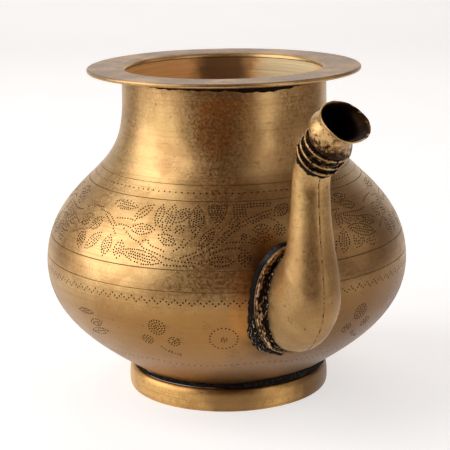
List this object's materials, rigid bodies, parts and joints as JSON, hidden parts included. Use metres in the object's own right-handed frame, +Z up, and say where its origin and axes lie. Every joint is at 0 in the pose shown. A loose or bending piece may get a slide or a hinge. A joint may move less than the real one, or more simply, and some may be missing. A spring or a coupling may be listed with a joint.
{
  "type": "spouted water pot",
  "caption": "Round-bellied brass water pot with a wide neck, flat flanged rim, foot ring and an upturned side spout with a flared mouth.",
  "frame": {"origin": "under the middle of the whole pot's box, spout included, on the plane that the foot stands on", "axes": "+Z up out of the pot's mouth, +X towards the spout"},
  "size_m": [0.204, 0.1616, 0.145],
  "materials": {
    "brass_body": "old satin brass with lathe lines and a brown patina",
    "brass_rim": "old satin brass with a grey film on top",
    "brass_foot": "old satin brass with a brown patina",
    "brass_collar": "worn bright on its lip",
    "brass_spout": "smooth satin brass",
    "brass_mouthpiece": "satin brass with a bright lip and dark inside",
    "brass_wire": "worn bright on top and dark in the grooves",
    "solder": "rough, nearly black hard solder"
  },
  "bodies": {
    "root": {"lower_bowl": "brass_body", "upper_body": "brass_body", "rim_flange": "brass_rim", "rim_solder_bead": "solder", "foot_ring": "brass_foot", "foot_solder_bead": "solder", "spout_seat_collar": "brass_collar", "spout_seat_solder": "solder", "spout_root_solder": "solder", "spout_left_half": "brass_spout", "spout_right_half": "brass_spout", "spout_mouthpiece": "brass_mouthpiece", "spout_wire_lower": "brass_wire", "spout_wire_middle": "brass_wire", "spout_wire_upper": "brass_wire", "spout_wire_solder": "solder"}
  },
  "joints": []
}
